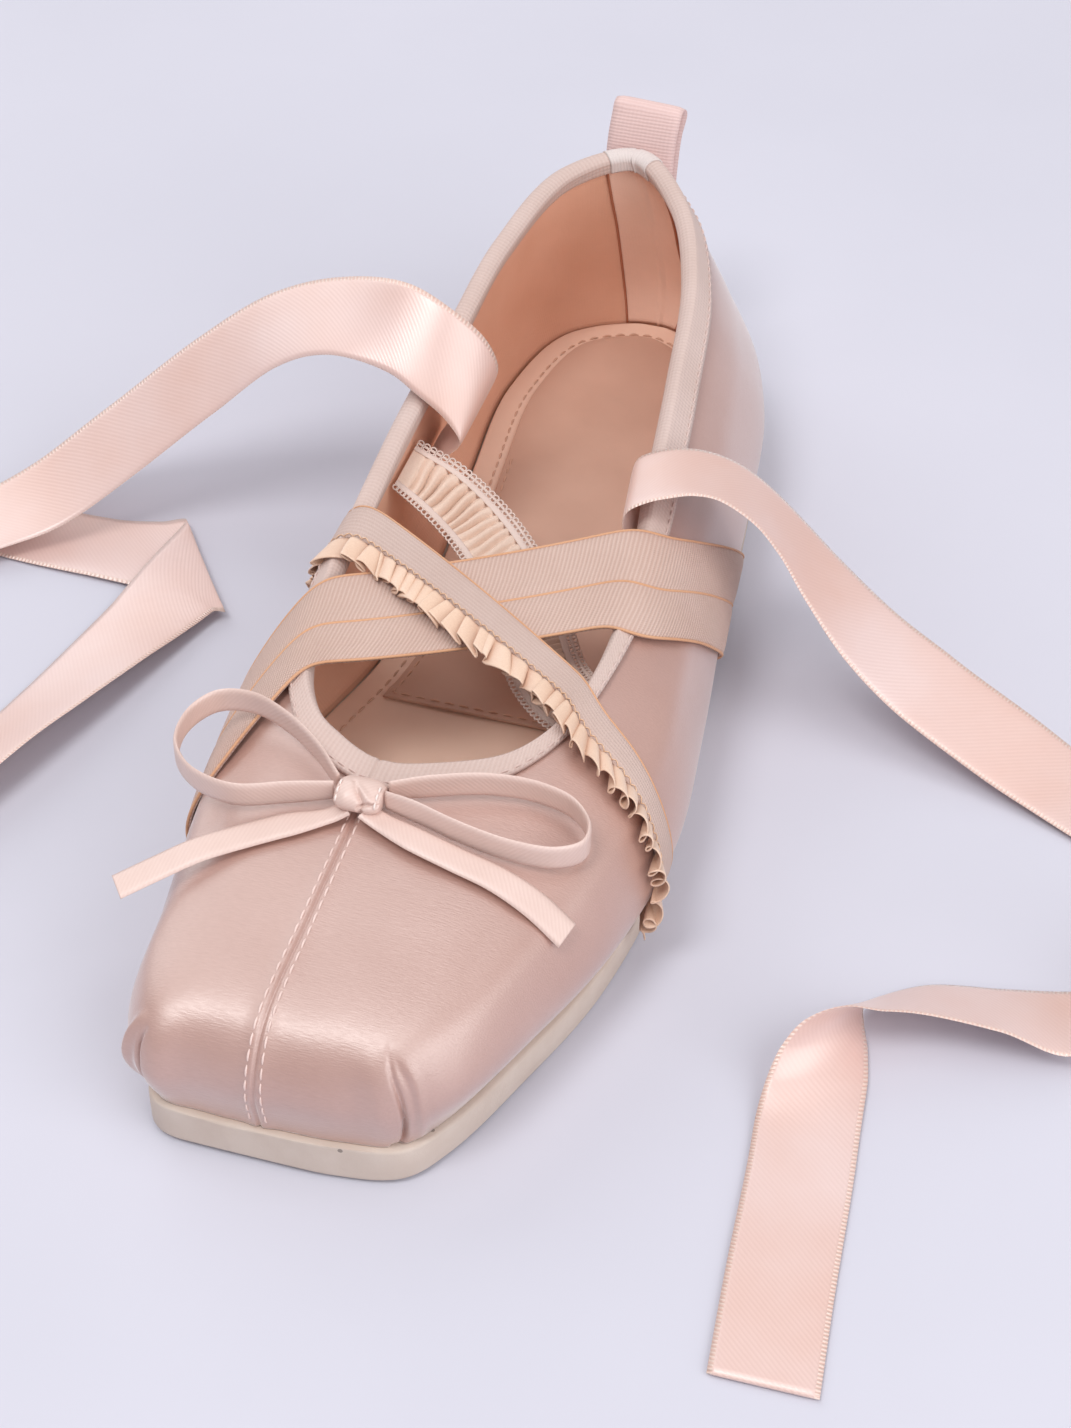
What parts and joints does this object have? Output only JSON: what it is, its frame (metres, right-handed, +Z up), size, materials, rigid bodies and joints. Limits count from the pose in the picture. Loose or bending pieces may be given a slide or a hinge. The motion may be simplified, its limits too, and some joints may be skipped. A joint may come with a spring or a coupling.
{
  "type": "ballet flat",
  "caption": "Square-toe satin ballet flat, left foot, with crossed elastic straps, a gathered frill, a bow on the vamp and long tie ribbons, standing empty on its rubber sole.",
  "frame": {"origin": "middle of the shoe's box in plan, on the plane it stands on; the tie ribbons and the bow are not counted", "axes": "+Z up, the toe points to -Y, the heel to +Y and +X to the lateral (outer) side of the left foot"},
  "size_m": [0.3412, 0.2765, 0.0634],
  "materials": {
    "outsole": "matte, fine grain",
    "insole": "smooth, low sheen",
    "heel_sock": "smooth, low sheen",
    "satin": "satin weave, soft sheen",
    "binding": "fine ribbed tape, matte",
    "pull_tape": "ribbed tape, matte",
    "elastic": "ribbed elastic, matte",
    "frill": "gathered satin, soft sheen",
    "lace": "gathered satin with lace edges",
    "bow_cord": "satin cord, soft sheen",
    "tie_ribbon": "satin ribbon, glossy"
  },
  "bodies": {
    "root": {"outsole": "outsole", "insole": "insole", "heel_sock": "heel_sock", "upper": "satin", "topline_binding": "binding", "pull_loop": "pull_tape", "cross_strap_wide": "elastic", "cross_strap_narrow": "elastic", "strap_frill": "frill", "lace_band": "lace", "bow_knot": "bow_cord", "bow_loop_left": "bow_cord", "bow_loop_right": "bow_cord", "bow_tail_left": "bow_cord", "bow_tail_right": "bow_cord", "ribbon_left": "tie_ribbon", "ribbon_right": "tie_ribbon"}
  },
  "joints": []
}
